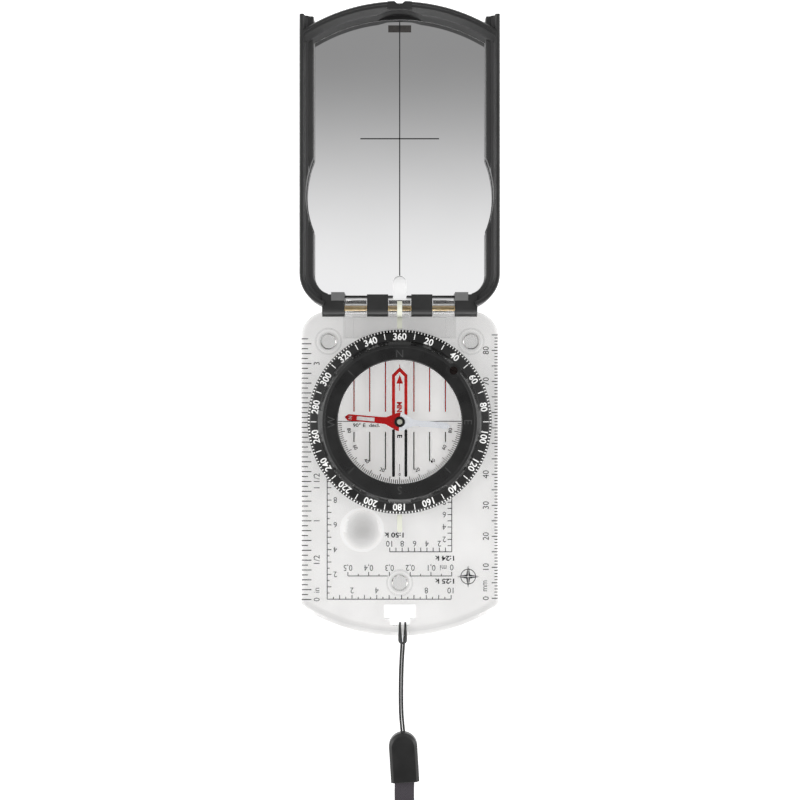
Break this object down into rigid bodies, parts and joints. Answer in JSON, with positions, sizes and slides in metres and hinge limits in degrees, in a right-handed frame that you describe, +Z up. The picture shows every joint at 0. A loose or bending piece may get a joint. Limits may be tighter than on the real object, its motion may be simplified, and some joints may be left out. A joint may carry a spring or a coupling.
{
  "type": "baseplate compass",
  "caption": "Mirror-sighting baseplate compass, folded open flat, with a rotating dial, a declination drive, a magnifier and a neck lanyard.",
  "frame": {"origin": "on the dial's axis, at the surface that the feet and the open lid rest on", "axes": "+X to the reader's right, +Y from the dial towards the open lid, +Z up out of the dial"},
  "size_m": [0.0638, 0.3815, 0.0127],
  "materials": {
    "clear_plastic": "clear moulded acrylic, glossy",
    "capsule_plastic": "clear moulded acrylic, glossy",
    "grey_rubber": "pale grey silicone rubber",
    "black_rubber": "black rubber or foam",
    "luminous": "pale green luminous plastic",
    "dial_plastic": "satin black moulded plastic",
    "lid_plastic": "satin black moulded plastic",
    "connector_plastic": "satin black moulded plastic",
    "screw_metal": "dark oxidised metal",
    "steel": "bright steel",
    "brass": "drawn brass",
    "red_plastic": "bright red lacquer",
    "white_plastic": "white lacquer",
    "jewel": "polished synthetic sapphire",
    "mirror": "silvered glass",
    "loop_cord": "thin braided black cord",
    "strap_webbing": "woven charcoal webbing",
    "tie_webbing": "black woven tie"
  },
  "bodies": {
    "base": {"base_plate": "clear_plastic", "rubber_feet": "grey_rubber", "index_strip_front": "luminous", "index_strip_rear": "luminous", "lanyard_loop": "loop_cord", "lanyard_connector": "connector_plastic", "strap_lead": "strap_webbing", "strap_hank": "strap_webbing", "hank_tie": "tie_webbing"},
    "dial": {"dial_ring": "dial_plastic", "dial_floor": "clear_plastic", "dial_retainer": "dial_plastic"},
    "screw": {"declination_screw": "screw_metal"},
    "capsule": {"capsule_cup": "capsule_plastic", "capsule_top": "capsule_plastic", "capsule_seal": "black_rubber", "pivot_pin": "steel"},
    "needle": {"needle_magnet": "steel", "needle_north": "red_plastic", "needle_south": "white_plastic", "needle_jewel": "jewel", "needle_cap_ring": "dial_plastic", "needle_cap_dot": "luminous"},
    "lid": {"lid_frame": "lid_plastic", "mirror_glass": "mirror", "mirror_pad": "black_rubber", "hinge_pin": "brass"}
  },
  "joints": [
    {"name": "dial_turn", "type": "hinge", "parent": "base", "child": "dial", "pos_m": [0, 0, 0.006], "axis": [0, 0, 1], "continuous": true},
    {"name": "capsule_turn", "type": "hinge", "parent": "dial", "child": "capsule", "pos_m": [0, 0, 0.006], "axis": [0, 0, 1], "range_deg": [-90, 90]},
    {"name": "screw_turn", "type": "hinge", "parent": "dial", "child": "screw", "pos_m": [0.01713, 0.01637, 0.006], "axis": [0, 0, 1], "range_deg": [-1100, 1100]},
    {"name": "needle_swing", "type": "hinge", "parent": "capsule", "child": "needle", "pos_m": [0, 0, 0.006], "axis": [0, 0, 1], "continuous": true},
    {"name": "lid_fold", "type": "hinge", "parent": "base", "child": "lid", "pos_m": [0, 0.0363, 0.0085], "axis": [1, 0, 0], "range_deg": [0, 180]}
  ],
  "couplings": [
    {"joint": "screw_turn", "follows": "capsule_turn", "ratio": -12.167}
  ]
}
